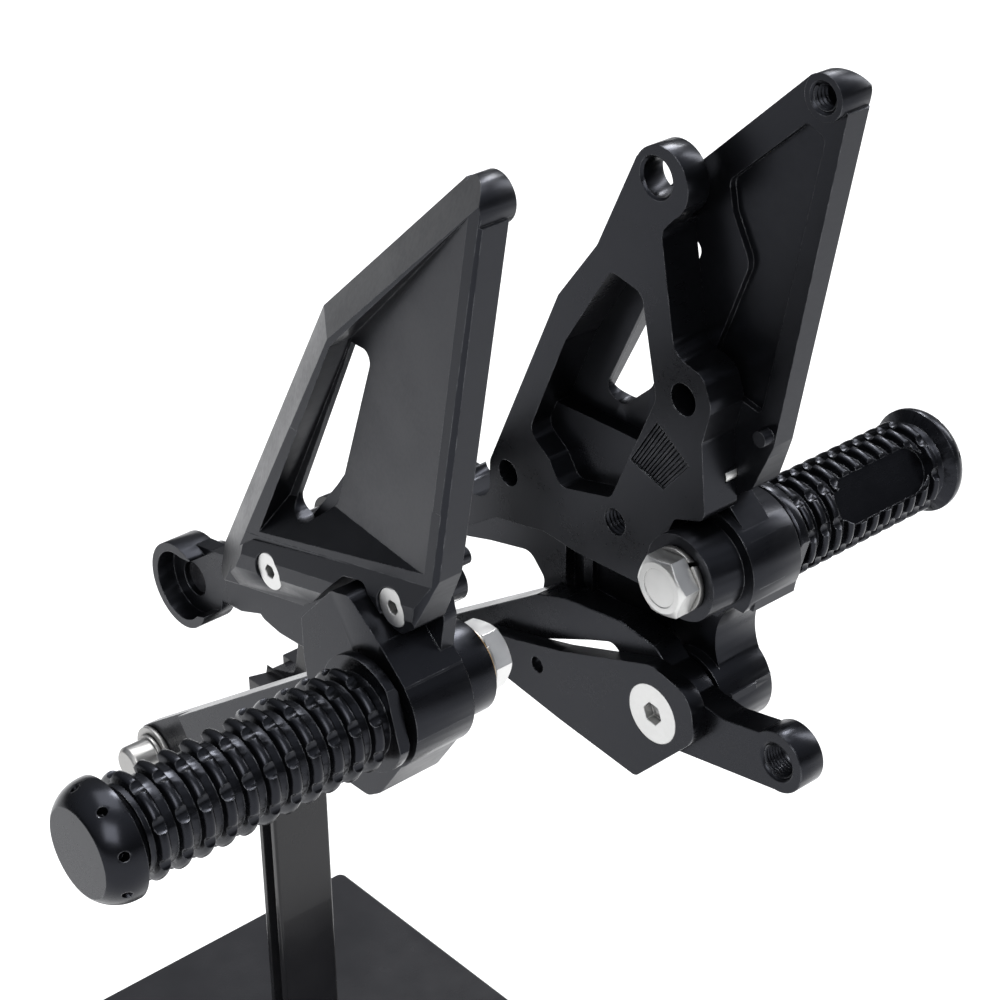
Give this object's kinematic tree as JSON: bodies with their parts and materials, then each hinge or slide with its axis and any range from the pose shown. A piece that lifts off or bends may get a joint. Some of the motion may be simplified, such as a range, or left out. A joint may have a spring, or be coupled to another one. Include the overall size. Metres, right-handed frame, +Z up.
{
  "type": "motorcycle foot peg set",
  "caption": "Left and right machined rear-set foot pegs with brackets, heel guards, gear-shift lever and brake pedal, carried on a small display stand.",
  "frame": {"origin": "on the table under the middle of the whole assembly's bounding box", "axes": "+X towards the front of the motorcycle, +Y towards its left side (the gear-shift side), +Z up"},
  "size_m": [0.2703, 0.2831, 0.415],
  "materials": {
    "black_machined": "satin black anodised, fine milling lines",
    "black_guard": "satin black anodised",
    "black_grip": "black anodised, turned",
    "black_cap": "black anodised, turned",
    "black_lever": "black anodised",
    "zinc": "bright zinc plated",
    "steel": "plain stainless",
    "bronze": "sintered bronze",
    "stand_black": "gloss black paint",
    "rubber": "matt"
  },
  "bodies": {
    "mounted_units": {"left_bracket": "black_machined", "left_heel_guard": "black_guard", "left_guard_screws": "zinc", "left_foot_peg": "black_grip", "left_foot_peg_end_cap": "black_cap", "left_peg_thrust_washer": "steel", "left_peg_bolt": "zinc", "left_peg_spring_washer": "steel", "left_shift_lever_sleeve": "bronze", "right_bracket": "black_machined", "right_heel_guard": "black_guard", "right_guard_screws": "zinc", "right_foot_peg": "black_grip", "right_foot_peg_end_cap": "black_cap", "right_peg_thrust_washer": "steel", "right_peg_bolt": "zinc", "right_peg_spring_washer": "steel", "right_pedal_pivot_bush": "bronze", "stand_base_plate": "stand_black", "stand_column": "stand_black", "stand_base_screws": "zinc", "stand_rubber_feet": "rubber", "stand_neck_plate": "stand_black", "stand_neck_screws": "zinc", "stand_crossbar": "stand_black", "stand_clamp_screw": "zinc"},
    "shift_lever": {"left_shift_lever": "black_lever", "left_toe_peg_washer": "steel", "left_toe_peg": "steel", "left_toe_peg_bolt": "zinc"},
    "brake_pedal": {"right_brake_pedal": "black_lever", "right_pedal_side_plate": "black_machined", "right_pedal_dowels": "steel", "right_pedal_pivot_bolt": "zinc", "right_pedal_thrust_washer": "steel", "right_pedal_pivot_nut": "zinc", "right_toe_peg_washer": "steel", "right_toe_peg": "steel", "right_toe_peg_bolt": "zinc"}
  },
  "joints": [
    {"name": "shift_lever_pivot", "type": "hinge", "parent": "mounted_units", "child": "shift_lever", "pos_m": [-0.08535, 0.0331, 0.27], "axis": [0, 1, 0], "range_deg": [-12, 12]},
    {"name": "brake_pedal_pivot", "type": "hinge", "parent": "mounted_units", "child": "brake_pedal", "pos_m": [-0.08455, -0.0479, 0.2229], "axis": [0, 1, 0], "range_deg": [0, 12]}
  ]
}
